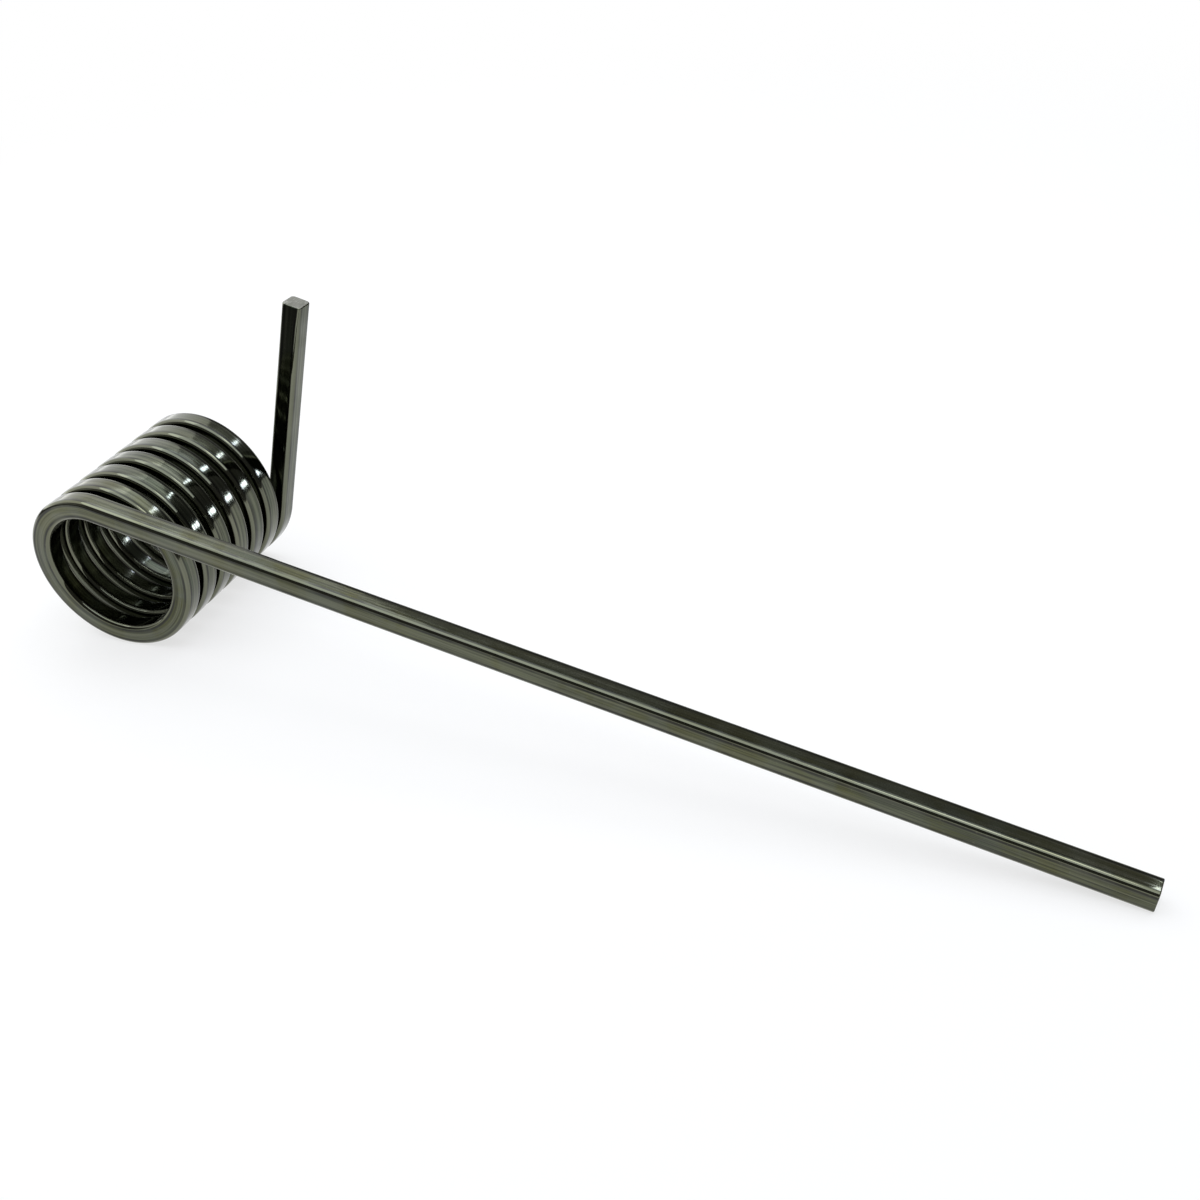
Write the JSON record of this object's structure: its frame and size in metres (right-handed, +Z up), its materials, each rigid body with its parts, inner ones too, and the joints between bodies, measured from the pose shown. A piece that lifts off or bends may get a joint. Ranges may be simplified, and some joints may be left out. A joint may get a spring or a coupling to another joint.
{
  "type": "torsion spring",
  "caption": "Left-hand wound torsion spring of square wire, with an open-wound cylindrical coil, a long straight leg and a short straight leg.",
  "frame": {"origin": "on the coil's axis, level with the middle of the wire where the long leg runs into the coil", "axes": "+Z up as the spring lies at rest, +Y along the coil's axis from the long leg's end to the short leg's end, +X the way the long leg points"},
  "size_m": [0.3263, 0.085, 0.0904],
  "materials": {
    "wire": "oil-tempered, dark and glossy"
  },
  "bodies": {
    "root": {"torsion_spring": "wire"}
  },
  "joints": []
}
